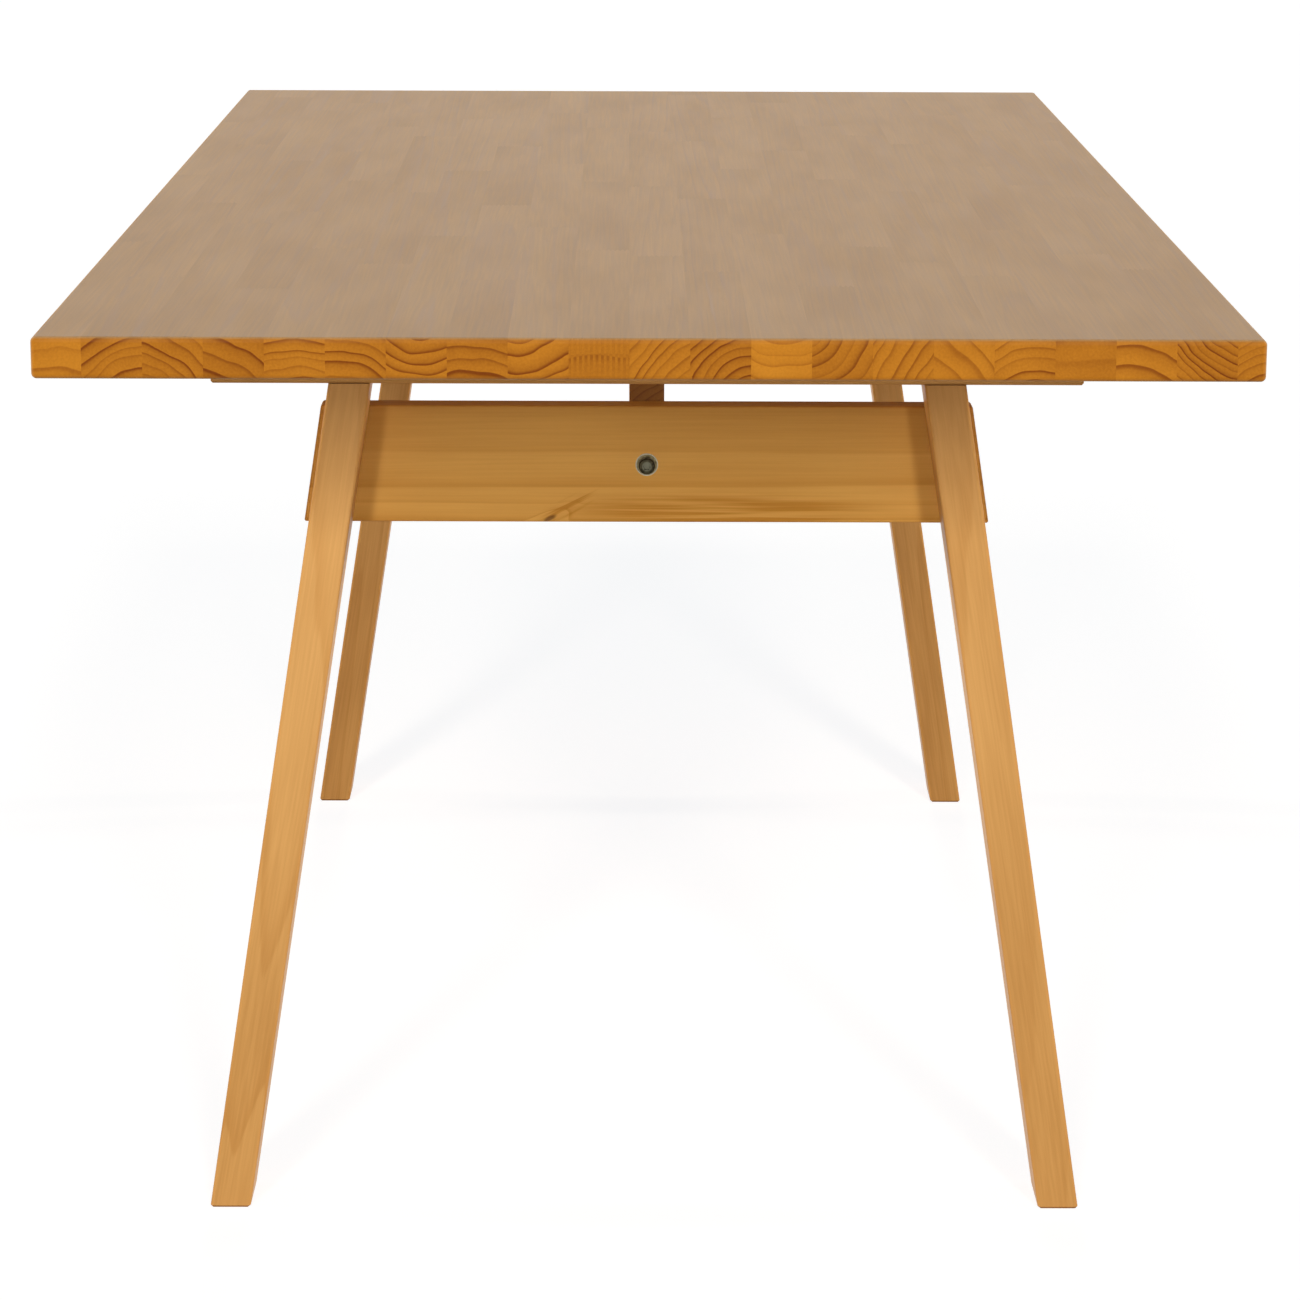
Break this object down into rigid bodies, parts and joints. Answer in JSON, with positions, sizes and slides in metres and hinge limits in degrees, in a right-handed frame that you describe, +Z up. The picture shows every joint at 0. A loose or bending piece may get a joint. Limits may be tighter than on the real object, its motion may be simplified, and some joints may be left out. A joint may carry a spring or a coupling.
{
  "type": "dining table",
  "caption": "Rectangular pine dining table: edge-glued top on two splayed-leg trestles, tied by a centre rail on edge bolted through the cross boards; seats people along its sides and ends.",
  "frame": {"origin": "on the floor, under the middle of the table top", "axes": "+Z up, +Y along the table's length from the front end to the rear end, +X across the table to the right as seen from the front end"},
  "size_m": [0.9, 1.8, 0.76],
  "materials": {
    "top_pine": "satin clear lacquer",
    "trestle_pine": "satin clear lacquer",
    "dowel_beech": "bare",
    "bolt_steel": "zinc plated",
    "screw_steel": "yellow zinc"
  },
  "bodies": {
    "root": {"barrel_nut_front": "bolt_steel", "barrel_nut_rear": "bolt_steel", "batten_front": "trestle_pine", "batten_rear": "trestle_pine", "board_screws_front": "screw_steel", "board_screws_rear": "screw_steel", "centre_rail": "trestle_pine", "cross_board_front": "trestle_pine", "cross_board_rear": "trestle_pine", "leg_dowels_front": "dowel_beech", "leg_dowels_rear": "dowel_beech", "leg_front_left": "trestle_pine", "leg_front_right": "trestle_pine", "leg_rear_left": "trestle_pine", "leg_rear_right": "trestle_pine", "rail_bolt_front": "bolt_steel", "rail_bolt_rear": "bolt_steel", "rail_dowels_front": "dowel_beech", "rail_dowels_rear": "dowel_beech", "rail_washer_front": "bolt_steel", "rail_washer_rear": "bolt_steel", "top_screws_front": "screw_steel", "top_screws_rear": "screw_steel", "top_stave_01": "top_pine", "top_stave_02": "top_pine", "top_stave_03": "top_pine", "top_stave_04": "top_pine", "top_stave_05": "top_pine", "top_stave_06": "top_pine", "top_stave_07": "top_pine", "top_stave_08": "top_pine", "top_stave_09": "top_pine", "top_stave_10": "top_pine", "top_stave_11": "top_pine", "top_stave_12": "top_pine", "top_stave_13": "top_pine", "top_stave_14": "top_pine", "top_stave_15": "top_pine", "top_stave_16": "top_pine", "top_stave_17": "top_pine", "top_stave_18": "top_pine", "top_stave_19": "top_pine", "top_stave_20": "top_pine", "top_stave_21": "top_pine"}
  },
  "joints": []
}
